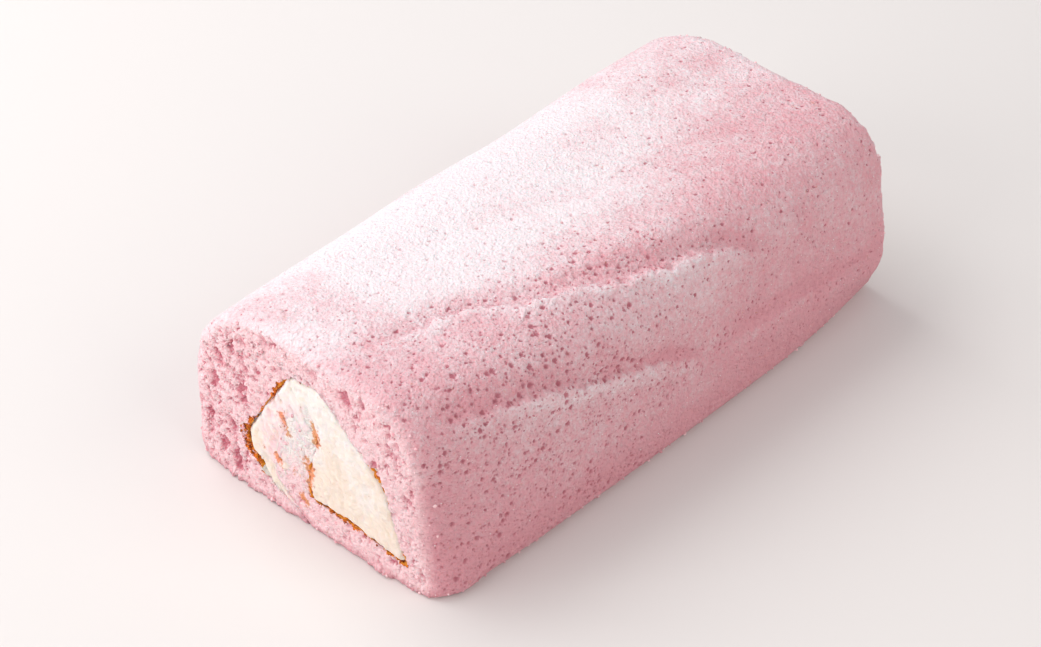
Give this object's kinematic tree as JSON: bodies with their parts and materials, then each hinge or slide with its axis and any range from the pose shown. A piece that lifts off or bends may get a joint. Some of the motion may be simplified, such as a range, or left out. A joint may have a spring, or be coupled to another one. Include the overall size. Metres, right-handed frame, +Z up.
{
  "type": "swiss roll cake",
  "caption": "Whole pink swiss roll cake, a thick sponge sheet wound round white cream, with a flat underside and square-cut ends.",
  "frame": {"origin": "on the ground, under the middle of the roll", "axes": "+Y along the roll, away from the show end; +X to the right of the show end; +Z up"},
  "size_m": [0.0936, 0.17, 0.057],
  "materials": {
    "sponge": "matt porous pink sponge, dusted with sugar",
    "cream": "satin ivory whipped cream"
  },
  "bodies": {
    "root": {"sponge": "sponge", "cream": "cream"}
  },
  "joints": []
}
